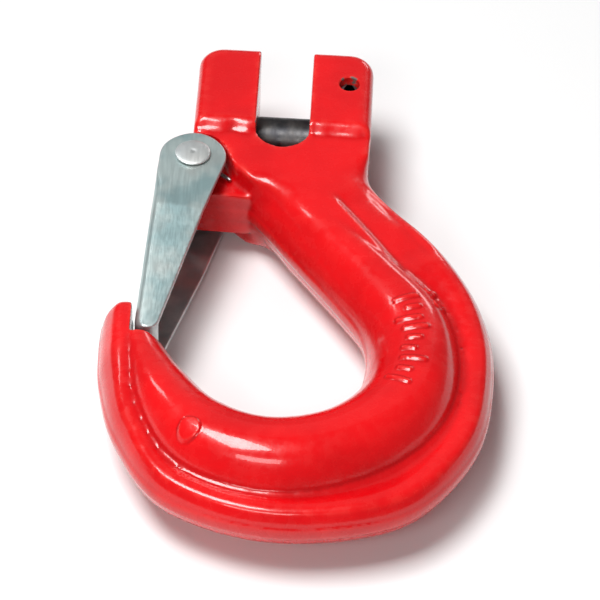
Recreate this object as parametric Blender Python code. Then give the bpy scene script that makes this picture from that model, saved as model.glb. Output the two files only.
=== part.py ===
"""Clevis sling hook with a spring latch, in its separate pieces.

Metres, +Z up. The hook lies on its flat side: +Y is the load axis towards the
chain, +X is the back of the bowl, -X is the tip and the latch, and Z is the
thickness. The origin is the centre of the load pin, in the middle of the clevis.
"""

import math

import bmesh
import bpy
from mathutils import Matrix, Vector

MM = 0.001
FIT_GAP = 0.3 * MM
PLUNGE = 4.0 * MM
BEYOND = 20.0 * MM

# Clevis
CLEVIS_HALF_WIDTH = 19.3 * MM
CLEVIS_TOP = 16.6 * MM
EAR_FOOT = -9.2 * MM
EAR_HALF_THICKNESS = 12.4 * MM
EAR_CORNER = 5.5 * MM
EAR_EDGE = 2.6 * MM
BODY_HALF_THICKNESS = 10.5 * MM
FOOT_EDGE = 1.6 * MM
SLOT_WIDTH = 11.6 * MM
SLOT_BOTTOM = -13.6 * MM

# Lower outline of the clevis's flat-faced foot, from the latch's side to the back,
# in millimetres
FOOT_OUTLINE = ((-19.3, -12.0), (-9.3, -20.8), (-5.2, -24.6), (0.5, -27.6), (8.0, -27.0),
                (18.9, -19.0))
FOOT_OVERLAP = 3.0 * MM

# Load pin, and the spring pin that keeps it in
LOAD_PIN_RADIUS = 4.75 * MM
LOAD_PIN_LENGTH = 37.4 * MM
LOAD_PIN_CHAMFER = 0.8 * MM
GROOVE_X = 14.0 * MM
GROOVE_DEPTH = 1.3 * MM
KEEPER_RADIUS = 1.9 * MM
KEEPER_WALL = 0.8 * MM
KEEPER_LENGTH = 21.0 * MM
KEEPER_SLIT = 0.7 * MM

# Latch pivot: a lug on the body and a rivet through it
PIVOT = Vector((-18.8 * MM, -18.5 * MM, 0.0))
LUG_RADIUS = 6.4 * MM
LUG_HALF_THICKNESS = 5.6 * MM
LUG_ROOT = ((-6.0, -25.4), (-2.0, -12.0), (-8.0, -6.0), (-17.0, -6.0))
RIVET_RADIUS = 2.4 * MM
RIVET_HEAD_RADIUS = 3.8 * MM
RIVET_HEAD_HEIGHT = 0.8 * MM
RIVET_HEAD_RIM = 0.35
RIVET_DOME_STEPS = 4

# Latch, a bent sheet with its web on the outside
SHEET = 1.4 * MM
LATCH_HALF_WIDTH = 11.0 * MM
LATCH_END_NARROWING = 4.0 * MM
TAPER_START = 16.0 * MM
LATCH_TOP_RADIUS = 7.2 * MM
LATCH_LENGTH = 46.2 * MM
LATCH_CLOSED = 262.0
LATCH_OPENING = 35.0
LATCH_END_RADIUS = 2.6 * MM
LATCH_EDGE = 0.5 * MM
WEB_START = 7.0 * MM
RECESS_CLEARANCE = 0.6 * MM
RECESS_LENGTH = 30.0 * MM

# Latch spring: its whole turns on each side, and where its two legs go
WIRE_RADIUS = 0.45 * MM
COIL_RADIUS = 3.4 * MM
COIL_TURNS = 2
COIL_STEPS = 14
WIRE_SIDES = 8
SPRING_REACH = 14.5 * MM
SPRING_LEG = 8.0 * MM
SPRING_LEG_HEADING = 320.0
LOOP_BEND = 1.6 * MM
LOOP_STEPS = 3

# Notch in the tip for the end of the latch
NOTCH_WALL_X = -28.2 * MM
NOTCH_FLOOR_Y = -70.2 * MM

# Body sections from the neck to the tip, in millimetres. Each row has its inner and
# outer point in the middle plane, the half thickness and the radial radius of its
# inner bulge, and the half thickness and the radial radius of its outer rim.
SECTIONS = (
    ((-9.0, -21.1), (11.3, -6.6), 10.5, 8.0, 10.5, 8.0),
    ((3.8, -38.9), (24.3, -24.2), 10.5, 8.0, 10.5, 7.0),
    ((13.4, -52.4), (37.3, -39.9), 10.8, 9.5, 9.5, 6.0),
    ((19.0, -61.8), (44.8, -54.7), 11.2, 10.8, 7.0, 4.5),
    ((20.2, -71.0), (47.0, -72.0), 11.6, 11.5, 5.6, 3.6),
    ((17.9, -79.6), (43.4, -92.7), 12.0, 12.0, 5.2, 3.4),
    ((11.0, -86.2), (29.4, -110.6), 12.2, 12.0, 5.0, 3.3),
    ((1.0, -88.6), (3.5, -116.3), 12.3, 12.0, 5.0, 3.3),
    ((-8.2, -84.9), (-18.9, -109.2), 12.0, 11.5, 5.3, 3.4),
    ((-14.3, -78.6), (-29.7, -94.0), 11.2, 9.5, 7.0, 4.5),
    ((-18.8, -72.6), (-34.0, -79.6), 10.0, 7.0, 8.6, 6.0),
    ((-22.0, -67.0), (-35.0, -69.0), 9.2, 5.5, 8.6, 5.5),
    ((-24.5, -60.0), (-34.8, -59.4), 8.4, 4.5, 8.4, 4.5),
)
SECTION_STEPS = 4
BULGE_STEPS = 6
FLANK_PLACES = (0.0, 0.18, 0.34, 0.48, 0.58, 0.66, 0.74, 0.88)
RIM_STEPS = 4

# Width of the bulge outside its crown, as a share of its width inside the crown
OUTER_SWELL = 0.8
# A shallow groove runs where the bulge meets the rim; it fades out across the rim
RIM_GROOVE = 0.6
GROOVE_OUTER = (0.7, 0.95)
GROOVE_ROUNDING = 1.0
GROOVE_FULL_STEP = 6.0


def clear_scene():
    for obj in list(bpy.data.objects):
        bpy.data.objects.remove(obj, do_unlink=True)


def material(name, colour, metallic, roughness):
    mat = bpy.data.materials.new(name)
    mat.use_nodes = True
    bsdf = mat.node_tree.nodes["Principled BSDF"]
    bsdf.inputs["Base Color"].default_value = (*colour, 1.0)
    bsdf.inputs["Metallic"].default_value = metallic
    bsdf.inputs["Roughness"].default_value = roughness
    return mat


def new_object(name, bm, mat=None):
    mesh = bpy.data.meshes.new(name)
    bmesh.ops.recalc_face_normals(bm, faces=bm.faces)
    bm.to_mesh(mesh)
    bm.free()
    obj = bpy.data.objects.new(name, mesh)
    bpy.context.scene.collection.objects.link(obj)
    if mat:
        mesh.materials.append(mat)
    return obj


def boolean(target, tool, operation):
    """Join or cut a piece with a tool that stays in the scene as a hidden cutter."""
    tool.hide_render = True
    tool.display_type = "WIRE"
    mod = target.modifiers.new(tool.name, "BOOLEAN")
    mod.operation = operation
    mod.solver = "EXACT"
    mod.object = tool


def smooth(obj, degrees=40.0):
    obj.data.shade_smooth()
    obj.data.set_sharp_from_angle(angle=math.radians(degrees))


def set_origin(obj, point):
    """Put an object's origin on a point without moving its mesh in the world."""
    obj.data.transform(Matrix.Translation(-point))
    obj.location = point


def arc(centre, radius, start, end, steps):
    """Points of a circular arc about an (x, y) centre, with its angles in degrees."""
    points = []
    for i in range(steps + 1):
        angle = math.radians(start + (end - start) * i / steps)
        points.append((centre[0] + radius * math.cos(angle), centre[1] + radius * math.sin(angle)))
    return points


def prism_mesh(outline, z_low, z_high):
    bm = bmesh.new()
    face = bm.faces.new([bm.verts.new((x, y, z_low)) for x, y in outline])
    extruded = bmesh.ops.extrude_face_region(bm, geom=[face])
    top = [v for v in extruded["geom"] if isinstance(v, bmesh.types.BMVert)]
    bmesh.ops.translate(bm, verts=top, vec=(0.0, 0.0, z_high - z_low))
    return bm


def prism(name, outline, z_low, z_high):
    """A closed prism over an outline of (x, y) points."""
    return new_object(name, prism_mesh(outline, z_low, z_high))


def bevelled_prism(name, outline, half, edge, steps):
    """A prism about the middle plane with the edges of its two faces rounded."""
    bm = prism_mesh(outline, -half, half)
    rims = [e for e in bm.edges if abs(e.verts[0].co.z - e.verts[1].co.z) < half / 100]
    bmesh.ops.bevel(bm, geom=rims, offset=edge, segments=steps, profile=0.5, affect="EDGES")
    return new_object(name, bm)


def box(name, low, high):
    outline = ((low[0], low[1]), (high[0], low[1]), (high[0], high[1]), (low[0], high[1]))
    return prism(name, outline, low[2], high[2])


def turned(profile, segments, centre, axis):
    """A mesh turned from (radius, height) points, whose ends lie on the axis."""
    bm = bmesh.new()
    rings = []
    for radius, height in profile:
        sides = segments if radius else 1
        ring = []
        for i in range(sides):
            angle = 2 * math.pi * i / segments
            ring.append(bm.verts.new((radius * math.cos(angle), radius * math.sin(angle), height)))
        rings.append(ring)
    for low, high in zip(rings, rings[1:]):
        for i in range(segments):
            corners = (low[i % len(low)], low[(i + 1) % len(low)],
                       high[(i + 1) % len(high)], high[i % len(high)])
            bm.faces.new(tuple(dict.fromkeys(corners)))
    turn = Vector((0.0, 0.0, 1.0)).rotation_difference(Vector(axis)).to_matrix().to_4x4()
    bm.transform(Matrix.Translation(centre) @ turn)
    return bm


def rod(name, radius, half_length, centre, axis, segments=32):
    profile = ((0.0, -half_length), (radius, -half_length), (radius, half_length),
               (0.0, half_length))
    return new_object(name, turned(profile, segments, centre, axis))


def tube(points, radius, sides):
    """A closed round wire along a list of points, with flat ends."""
    bm = bmesh.new()
    loops = []
    normal = None
    for i, point in enumerate(points):
        ahead = (points[min(i + 1, len(points) - 1)] - points[max(i - 1, 0)]).normalized()
        if normal is None:
            normal = ahead.orthogonal().normalized()
        normal = (normal - ahead * normal.dot(ahead)).normalized()
        side = ahead.cross(normal)
        loop = []
        for k in range(sides):
            angle = 2 * math.pi * k / sides
            offset = normal * math.cos(angle) + side * math.sin(angle)
            loop.append(bm.verts.new(point + offset * radius))
        loops.append(loop)
    for low, high in zip(loops, loops[1:]):
        for k in range(sides):
            m = (k + 1) % sides
            bm.faces.new((low[k], low[m], high[m], high[k]))
    bm.faces.new(loops[0])
    bm.faces.new(loops[-1])
    return bm


def catmull(p0, p1, p2, p3, t):
    return 0.5 * (2 * p1 + (p2 - p0) * t + (2 * p0 - 5 * p1 + 4 * p2 - p3) * t ** 2
                  + (3 * p1 - p0 - 3 * p2 + p3) * t ** 3)


def smooth_sections():
    """The body's sections, with smooth steps between the driving ones."""
    rows = [(*inner, *outer, *shape) for inner, outer, *shape in SECTIONS]
    last = len(rows) - 1
    result = []
    for i in range(last):
        around = (rows[max(i - 1, 0)], rows[i], rows[i + 1], rows[min(i + 2, last)])
        for step in range(SECTION_STEPS):
            result.append([catmull(*column, step / SECTION_STEPS) for column in zip(*around)])
    result.append(rows[last])
    return result


def ramp(low, high, x):
    """Smooth rise from 0 at low to 1 at high."""
    t = min(max((x - low) / (high - low), 0.0), 1.0)
    return t * t * (3.0 - 2.0 * t)


def half_profile(width, bulge_half, bulge_radius, rim_half, rim_radius):
    """Upper half of a section from its inner to its outer point, as (across, z) pairs."""
    points = []
    for i in range(BULGE_STEPS):
        angle = math.pi / 2 * i / BULGE_STEPS
        points.append((bulge_radius * (1 - math.cos(angle)), bulge_half * math.sin(angle)))
    rim_half = min(rim_half, bulge_half)
    flank = width - bulge_radius - rim_radius
    share = min(1.0, (bulge_half - rim_half) / GROOVE_FULL_STEP)
    for v in FLANK_PLACES:
        fallen = flank * v / (OUTER_SWELL * bulge_radius)
        bulge = bulge_half * math.sqrt(max(1 - fallen ** 2, 0.0))
        rim = rim_half - RIM_GROOVE * share * (1 - ramp(*GROOVE_OUTER, v))
        z = (bulge + rim + math.hypot(bulge - rim, GROOVE_ROUNDING * share)) / 2
        points.append((bulge_radius + flank * v, z))
    for i in range(RIM_STEPS + 1):
        angle = math.pi / 2 * i / RIM_STEPS
        points.append((width - rim_radius * (1 - math.sin(angle)), rim_half * math.cos(angle)))
    return points


def swept_body():
    """Neck, bowl and tip as one loft through the sections."""
    bm = bmesh.new()
    loops = []
    for inner_x, inner_y, outer_x, outer_y, *shape in smooth_sections():
        inner = Vector((inner_x, inner_y, 0.0))
        across = Vector((outer_x, outer_y, 0.0)) - inner
        half = half_profile(across.length, *shape)
        across.normalize()
        profile = half + [(u, -z) for u, z in reversed(half[1:-1])]
        loops.append([bm.verts.new((inner + across * u + Vector((0, 0, z))) * MM)
                      for u, z in profile])
    count = len(loops[0])
    for low, high in zip(loops, loops[1:]):
        for i in range(count):
            j = (i + 1) % count
            bm.faces.new((low[i], low[j], high[j], high[i]))
    bm.faces.new(loops[0])
    bm.faces.new(loops[-1])
    return bm


def ears_block():
    """The two ears before the slot is cut, with rounded outer corners and edges."""
    half = CLEVIS_HALF_WIDTH
    corner = EAR_CORNER
    top = CLEVIS_TOP - corner
    outline = [(-half, EAR_FOOT), (half, EAR_FOOT)]
    outline += arc((half - corner, top), corner, 0, 90, 5)
    outline += arc((corner - half, top), corner, 90, 180, 5)
    return bevelled_prism("ears_block", outline, EAR_HALF_THICKNESS, EAR_EDGE, 3)


def foot_block():
    """Flat-faced root of the clevis, from under the ears into the neck."""
    top = EAR_FOOT + FOOT_OVERLAP
    outline = [(-CLEVIS_HALF_WIDTH, top)]
    outline += [(x * MM, y * MM) for x, y in FOOT_OUTLINE]
    outline += [(CLEVIS_HALF_WIDTH, top)]
    return bevelled_prism("foot_block", outline, BODY_HALF_THICKNESS, FOOT_EDGE, 3)


def lug_block():
    """Round lug for the rivet, with a root that reaches into the clevis and the neck."""
    outline = arc(PIVOT, LUG_RADIUS, 90, 275, 12)
    outline += [(x * MM, y * MM) for x, y in LUG_ROOT]
    return prism("lug_block", outline, -LUG_HALF_THICKNESS, LUG_HALF_THICKNESS)


def slot_cutter():
    half = SLOT_WIDTH / 2
    outline = arc((0.0, SLOT_BOTTOM + half), half, 180, 360, 12)
    outline += [(half, CLEVIS_TOP + PLUNGE), (-half, CLEVIS_TOP + PLUNGE)]
    reach = EAR_HALF_THICKNESS + PLUNGE
    return prism("slot_cutter", outline, -reach, reach)


def edge_of_open_latch():
    """Start and direction of the latch's throat-side edge when it is fully open."""
    taper = math.asin((LATCH_TOP_RADIUS - LATCH_END_RADIUS) / LATCH_LENGTH)
    heading = math.radians(LATCH_CLOSED + LATCH_OPENING) - taper
    return Vector((-math.sin(heading), math.cos(heading))), Vector((math.cos(heading),
                                                                    math.sin(heading)))


def recess_cutter(name, side):
    """Room for one side plate of the latch, from closed to fully open."""
    clearance = LATCH_TOP_RADIUS + RECESS_CLEARANCE
    normal, heading = edge_of_open_latch()
    centre = PIVOT.xy
    start = math.degrees(math.atan2(normal.y, normal.x))
    far = centre + normal * clearance + heading * RECESS_LENGTH
    outline = arc(centre, clearance, start, 180, 14)
    outline += [(centre.x - clearance, far.y), tuple(far)]
    low, high = sorted((side * LUG_HALF_THICKNESS, side * (EAR_HALF_THICKNESS + PLUNGE)))
    return prism(name, outline, low, high)


def hook_body(mat):
    """Forged hook: clevis, neck, bowl and tip in one piece, with its bores."""
    body = new_object("hook_body", swept_body(), mat)
    smooth(body)
    reach = EAR_HALF_THICKNESS + PLUNGE
    boolean(body, foot_block(), "UNION")
    boolean(body, ears_block(), "UNION")
    for name, side in (("recess_front", 1), ("recess_back", -1)):
        boolean(body, recess_cutter(name, side), "DIFFERENCE")
    boolean(body, lug_block(), "UNION")
    boolean(body, slot_cutter(), "DIFFERENCE")
    pin_bore = rod("pin_bore", LOAD_PIN_RADIUS + FIT_GAP, CLEVIS_HALF_WIDTH + PLUNGE,
                   Vector(), (1, 0, 0))
    boolean(body, pin_bore, "DIFFERENCE")
    keeper_bore = rod("keeper_bore", KEEPER_RADIUS + FIT_GAP, reach, keeper_centre(),
                      (0, 0, 1), 20)
    boolean(body, keeper_bore, "DIFFERENCE")
    rivet_bore = rod("rivet_bore", RIVET_RADIUS + FIT_GAP, reach, PIVOT, (0, 0, 1), 24)
    boolean(body, rivet_bore, "DIFFERENCE")
    notch = box("tip_notch", (NOTCH_WALL_X, NOTCH_FLOOR_Y, -reach),
                (NOTCH_WALL_X + BEYOND, NOTCH_FLOOR_Y + BEYOND, reach))
    boolean(body, notch, "DIFFERENCE")
    return body


def keeper_centre():
    bottom_of_groove = LOAD_PIN_RADIUS - GROOVE_DEPTH
    return Vector((GROOVE_X, bottom_of_groove + FIT_GAP + KEEPER_RADIUS, 0.0))


def load_pin(mat):
    """Plain pin with chamfered ends and a round groove for the spring pin."""
    radius = LOAD_PIN_RADIUS
    end = LOAD_PIN_LENGTH / 2
    groove = KEEPER_RADIUS + FIT_GAP
    inner = radius - GROOVE_DEPTH
    profile = ((0.0, -end), (radius - LOAD_PIN_CHAMFER, -end), (radius, LOAD_PIN_CHAMFER - end),
               (radius, GROOVE_X - groove), (inner, GROOVE_X - groove),
               (inner, GROOVE_X + groove), (radius, GROOVE_X + groove),
               (radius, end - LOAD_PIN_CHAMFER), (radius - LOAD_PIN_CHAMFER, end), (0.0, end))
    pin = new_object("load_pin", turned(profile, 32, Vector(), (1, 0, 0)), mat)
    smooth(pin)
    return pin


def spring_pin(mat):
    """Rolled spring pin: a thick tube that is split along its length."""
    centre = keeper_centre()
    half_slit = math.degrees(math.asin(KEEPER_SLIT / 2 / KEEPER_RADIUS))
    outline = arc(centre, KEEPER_RADIUS, 90 + half_slit, 450 - half_slit, 20)
    outline += arc(centre, KEEPER_RADIUS - KEEPER_WALL, 450 - 2 * half_slit,
                   90 + 2 * half_slit, 20)
    pin = prism("load_pin_spring_pin", outline, -KEEPER_LENGTH / 2, KEEPER_LENGTH / 2)
    pin.data.materials.append(mat)
    set_origin(pin, centre)
    smooth(pin)
    return pin


def latch_outline(inset):
    """Teardrop of the latch's side plate, drawn in by an inset."""
    top = PIVOT.xy
    heading = math.radians(LATCH_CLOSED)
    end = top + Vector((math.cos(heading), math.sin(heading))) * LATCH_LENGTH
    taper = math.degrees(math.asin((LATCH_TOP_RADIUS - LATCH_END_RADIUS) / LATCH_LENGTH))
    right = LATCH_CLOSED + 90 - taper
    left = LATCH_CLOSED - 90 + taper
    outline = arc(top, LATCH_TOP_RADIUS - inset, right - 360, left, 18)
    return outline + arc(end, LATCH_END_RADIUS - inset, left, right, 6)


def latch_directions():
    """Unit vectors down the closed latch, and across it towards the throat."""
    heading = math.radians(LATCH_CLOSED)
    along = Vector((math.cos(heading), math.sin(heading), 0.0))
    return along, Vector((-along.y, along.x, 0.0))


def latch_prism(name, outline, half, mat=None, edge=0.0):
    """A prism that narrows towards the latch's end, with its side edges rounded."""
    bm = prism_mesh(outline, -half, half)
    if edge:
        rims = [e for e in bm.edges if abs(e.verts[0].co.z - e.verts[1].co.z) < half / 100]
        bmesh.ops.bevel(bm, geom=rims, offset=edge, segments=2, profile=0.5, affect="EDGES")
    along, _ = latch_directions()
    bmesh.ops.bisect_plane(bm, geom=bm.verts[:] + bm.edges[:] + bm.faces[:],
                           plane_co=PIVOT + along * TAPER_START, plane_no=along)
    for vert in bm.verts:
        down = (vert.co - PIVOT).dot(along) - TAPER_START
        if down > 0.0:
            narrowing = LATCH_END_NARROWING * down / (LATCH_LENGTH - TAPER_START)
            vert.co.z -= math.copysign(narrowing, vert.co.z)
    return new_object(name, bm, mat)


def latch_box(name, across, down, half):
    """A cutter box in the latch's own directions: across its width, and down its length."""
    along, side = latch_directions()
    corners = ((across[0], down[0]), (across[1], down[0]), (across[1], down[1]),
               (across[0], down[1]))
    outline = [tuple((PIVOT + side * a + along * d).xy) for a, d in corners]
    return latch_prism(name, outline, half)


def latch(mat):
    """Pressed sheet latch: two side plates, and a web on the outside of the throat."""
    piece = latch_prism("latch", latch_outline(0.0), LATCH_HALF_WIDTH, mat, LATCH_EDGE)
    inside = LATCH_HALF_WIDTH - SHEET
    boolean(piece, latch_prism("latch_hollow", latch_outline(SHEET), inside), "DIFFERENCE")
    mouth = latch_box("latch_mouth", (SHEET - LATCH_END_RADIUS, BEYOND), (-BEYOND, LATCH_LENGTH),
                      inside)
    boolean(piece, mouth, "DIFFERENCE")
    window = latch_box("latch_window", (-BEYOND, BEYOND), (-BEYOND, WEB_START), inside)
    boolean(piece, window, "DIFFERENCE")
    bore = rod("latch_bore", RIVET_RADIUS + FIT_GAP, LATCH_HALF_WIDTH + PLUNGE, PIVOT,
               (0, 0, 1), 24)
    boolean(piece, bore, "DIFFERENCE")
    set_origin(piece, PIVOT)
    smooth(piece)
    return piece


def latch_rivet(mat):
    """Rivet with a low domed head on each side."""
    under = LATCH_HALF_WIDTH + FIT_GAP
    head = []
    for i in range(RIVET_DOME_STEPS):
        angle = math.pi / 2 * i / RIVET_DOME_STEPS
        share = RIVET_HEAD_RIM + (1 - RIVET_HEAD_RIM) * math.sin(angle)
        head.append((RIVET_HEAD_RADIUS * math.cos(angle), under + RIVET_HEAD_HEIGHT * share))
    head.append((0.0, under + RIVET_HEAD_HEIGHT))
    upper = [(RIVET_RADIUS, under), (RIVET_HEAD_RADIUS, under)] + head
    profile = [(r, -z) for r, z in reversed(upper)] + upper
    rivet = new_object("latch_rivet", turned(profile, 24, PIVOT, (0, 0, 1)), mat)
    set_origin(rivet, PIVOT)
    smooth(rivet)
    return rivet


def spring_path():
    """Middle line of the double torsion spring, from one body leg to the other."""
    along, across = latch_directions()
    inner_z = LUG_HALF_THICKNESS + FIT_GAP + WIRE_RADIUS
    outer_z = LATCH_HALF_WIDTH - SHEET - FIT_GAP - WIRE_RADIUS
    taper = (LATCH_TOP_RADIUS - LATCH_END_RADIUS) / LATCH_LENGTH
    web = LATCH_TOP_RADIUS - SHEET - FIT_GAP - WIRE_RADIUS - SPRING_REACH * taper
    loop = PIVOT + along * SPRING_REACH - across * web
    to_loop = loop - PIVOT
    leave = math.atan2(to_loop.y, to_loop.x) - math.acos(COIL_RADIUS / to_loop.length)
    heading = math.radians(SPRING_LEG_HEADING)
    first = heading + math.pi / 2
    turn = (leave - first) % (2 * math.pi) + 2 * math.pi * COIL_TURNS
    steps = COIL_STEPS * (COIL_TURNS + 1)
    half = []
    for i in range(steps + 1):
        angle = first + turn * i / steps
        rise = Vector((0.0, 0.0, inner_z + (outer_z - inner_z) * i / steps))
        spoke = Vector((math.cos(angle), math.sin(angle), 0.0)) * COIL_RADIUS
        half.append(PIVOT + spoke + rise)
    leg = Vector((math.cos(heading), math.sin(heading), 0.0)) * SPRING_LEG
    half.insert(0, half[0] + leg)
    down = (loop.xy - half[-1].xy).normalized().to_3d()
    for i in range(LOOP_STEPS + 1):
        angle = math.pi / 2 * i / LOOP_STEPS
        half.append(loop + down * LOOP_BEND * (math.sin(angle) - 1)
                    + Vector((0, 0, outer_z - LOOP_BEND * (1 - math.cos(angle)))))
    return half + [Vector((p.x, p.y, -p.z)) for p in reversed(half)]


def latch_spring(mat):
    spring = new_object("latch_spring", tube(spring_path(), WIRE_RADIUS, WIRE_SIDES), mat)
    set_origin(spring, PIVOT)
    smooth(spring)
    return spring


clear_scene()
hook_body(material("red_paint", (0.80, 0.015, 0.02), 0.0, 0.25))
load_pin(material("dark_steel", (0.06, 0.06, 0.065), 1.0, 0.45))
spring_pin(material("spring_steel", (0.20, 0.20, 0.21), 1.0, 0.40))
zinc = material("zinc_plate", (0.62, 0.68, 0.68), 1.0, 0.35)
latch(zinc)
latch_rivet(material("rivet_steel", (0.70, 0.72, 0.72), 1.0, 0.30))
latch_spring(material("spring_wire", (0.35, 0.35, 0.36), 1.0, 0.35))
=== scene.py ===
import math

import bmesh
import bpy
import numpy as np
from mathutils import Matrix, Vector, noise


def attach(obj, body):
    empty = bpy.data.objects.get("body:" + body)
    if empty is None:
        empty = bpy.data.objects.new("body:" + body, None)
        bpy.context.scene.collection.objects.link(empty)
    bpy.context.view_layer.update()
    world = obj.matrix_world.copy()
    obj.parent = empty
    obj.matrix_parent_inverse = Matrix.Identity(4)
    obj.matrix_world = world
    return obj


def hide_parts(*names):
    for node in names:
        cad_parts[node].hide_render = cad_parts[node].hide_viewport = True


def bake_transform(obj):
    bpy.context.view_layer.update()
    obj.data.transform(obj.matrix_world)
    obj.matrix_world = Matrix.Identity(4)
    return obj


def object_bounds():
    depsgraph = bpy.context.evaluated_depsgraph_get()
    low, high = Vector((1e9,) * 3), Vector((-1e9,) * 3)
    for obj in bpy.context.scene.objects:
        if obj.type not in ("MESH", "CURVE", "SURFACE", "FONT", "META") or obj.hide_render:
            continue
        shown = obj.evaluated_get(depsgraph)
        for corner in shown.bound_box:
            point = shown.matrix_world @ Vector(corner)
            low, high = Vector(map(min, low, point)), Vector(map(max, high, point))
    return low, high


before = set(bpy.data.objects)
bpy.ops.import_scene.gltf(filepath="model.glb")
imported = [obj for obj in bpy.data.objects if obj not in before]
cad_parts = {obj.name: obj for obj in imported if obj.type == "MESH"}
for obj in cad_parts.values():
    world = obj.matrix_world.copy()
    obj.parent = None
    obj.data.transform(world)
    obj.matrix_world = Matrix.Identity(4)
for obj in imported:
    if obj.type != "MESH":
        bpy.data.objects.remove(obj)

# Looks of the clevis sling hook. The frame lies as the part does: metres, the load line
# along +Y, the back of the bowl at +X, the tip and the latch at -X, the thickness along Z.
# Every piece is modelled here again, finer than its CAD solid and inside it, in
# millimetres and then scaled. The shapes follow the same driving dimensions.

CAD_BOX = [list(corner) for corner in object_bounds()]
MM = 0.001

# Clevis
CLEVIS_HALF_WIDTH = 19.3
CLEVIS_TOP = 16.6
EAR_FOOT = -9.2
EAR_HALF_THICKNESS = 12.4
EAR_CORNER = 5.5
EAR_EDGE = 2.6
BODY_HALF_THICKNESS = 10.5
FOOT_EDGE = 1.0
FOOT_OUTLINE = ((-19.3, -12.0), (-9.3, -20.8), (-5.2, -24.6), (0.5, -27.6), (8.0, -27.0),
                (18.9, -19.0))
FOOT_OVERLAP = 3.0
SLOT_WIDTH = 11.6
SLOT_BOTTOM = -13.6
FIT_GAP = 0.3

# Load pin and its spring pin
LOAD_PIN_RADIUS = 4.75
LOAD_PIN_LENGTH = 37.4
LOAD_PIN_CHAMFER = 0.8
PIN_EASE = 0.12
LATHE_CENTRE = ((0.0, 0.55), (0.75, 0.05), (0.95, 0.0))
GROOVE_X = 14.0
GROOVE_DEPTH = 1.3
KEEPER_RADIUS = 1.9
KEEPER_WALL = 0.8
KEEPER_LENGTH = 21.0
KEEPER_SLIT = 0.7
KEEPER_EASE = 0.15

# Latch, its rivet and its spring
PIVOT = Vector((-18.8, -18.5, 0.0))
LUG_RADIUS = 6.4
LUG_HALF_THICKNESS = 5.6
LUG_ROOT = ((-6.0, -25.4), (-2.0, -12.0), (-8.0, -6.0), (-17.0, -6.0))
RIVET_RADIUS = 2.4
RIVET_HEAD_RADIUS = 3.8
RIVET_HEAD_HEIGHT = 0.8
RIVET_HEAD_RIM = 0.35
RIVET_EDGE = (0.15, 0.12)
DIMPLE_RADIUS = 0.8
RIVET_DIMPLE = ((0.62, 0.05), (0.4, 0.14), (0.0, 0.18))
SHEET = 1.4
LATCH_HALF_WIDTH = 11.0
LATCH_END_NARROWING = 4.0
TAPER_START = 16.0
LATCH_TOP_RADIUS = 7.2
LATCH_LENGTH = 46.2
LATCH_CLOSED = 262.0
LATCH_OPENING = 35.0
LATCH_END_RADIUS = 2.6
WEB_START = 7.0
RECESS_CLEARANCE = 0.6
RECESS_LENGTH = 30.0
WIRE_RADIUS = 0.45
COIL_RADIUS = 3.4
COIL_TURNS = 2
SPRING_REACH = 14.5
SPRING_LEG = 8.0
SPRING_LEG_HEADING = 320.0
LOOP_BEND = 1.6

# Notch in the tip
NOTCH_WALL_X = -28.2
NOTCH_FLOOR_Y = -70.2

# Body sections from the neck to the tip: inner and outer point in the middle plane, half
# thickness and radial radius of the inner bulge, and the same of the outer rim
SECTIONS = (
    ((-9.0, -21.1), (11.3, -6.6), 10.5, 8.0, 10.5, 8.0),
    ((3.8, -38.9), (24.3, -24.2), 10.5, 8.0, 10.5, 7.0),
    ((13.4, -52.4), (37.3, -39.9), 10.8, 9.5, 9.5, 6.0),
    ((19.0, -61.8), (44.8, -54.7), 11.2, 10.8, 7.0, 4.5),
    ((20.2, -71.0), (47.0, -72.0), 11.6, 11.5, 5.6, 3.6),
    ((17.9, -79.6), (43.4, -92.7), 12.0, 12.0, 5.2, 3.4),
    ((11.0, -86.2), (29.4, -110.6), 12.2, 12.0, 5.0, 3.3),
    ((1.0, -88.6), (3.5, -116.3), 12.3, 12.0, 5.0, 3.3),
    ((-8.2, -84.9), (-18.9, -109.2), 12.0, 11.5, 5.3, 3.4),
    ((-14.3, -78.6), (-29.7, -94.0), 11.2, 9.5, 7.0, 4.5),
    ((-18.8, -72.6), (-34.0, -79.6), 10.0, 7.0, 8.6, 6.0),
    ((-22.0, -67.0), (-35.0, -69.0), 9.2, 5.5, 8.6, 5.5),
    ((-24.5, -60.0), (-34.8, -59.4), 8.4, 4.5, 8.4, 4.5),
)
SECTION_STEPS = 16
BULGE_STEPS = 14
FLANK_STEPS = 25
RIM_STEPS = 10
OUTER_SWELL = 0.8
RIM_GROOVE = 0.6
GROOVE_OUTER = (0.7, 0.95)
GROOVE_ROUNDING = 0.4
GROOVE_FULL_STEP = 6.0
TIP_ROUNDING = 3.0

# Forging detail
BODY_VOXEL = 0.54
BODY_SMOOTHING = 12
EAR_SMOOTHING = 3
PIN_BORE_CHAMFER = 0.5
SMALL_BORE_CHAMFER = 0.3
BOX_MARGIN = 0.01

# Soft foot of the ears: the ramp along Y, how far its start sways, the stretch above and
# below it that is eased, and the ranges across X where the ease fades in and out
EAR_RAMP = (-9.9, -6.8)
EAR_RAMP_SWAY = 2.4
EAR_RAMP_SWAY_SIZE = 6.0
EAR_BELOW = 3.5
EAR_ABOVE = 1.5
EAR_SKIN = 0.9
EAR_FADE_IN = (6.0, 7.6)
EAR_FADE_OUT = (15.6, 17.6)

# Blend of the clevis into the neck, along Y and away from the recess's wall
NECK_ROUNDS = 110
NECK_STEP = 0.5
NECK_FADE_IN = (-36.0, -30.0)
NECK_FADE_OUT = (-19.0, -14.5)
NECK_OFF_WALL = (1.6, 4.5)
RECESS_WALL = (-11.5, -15.6)
RECESS_NORMAL = (0.93, 0.368)

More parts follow.
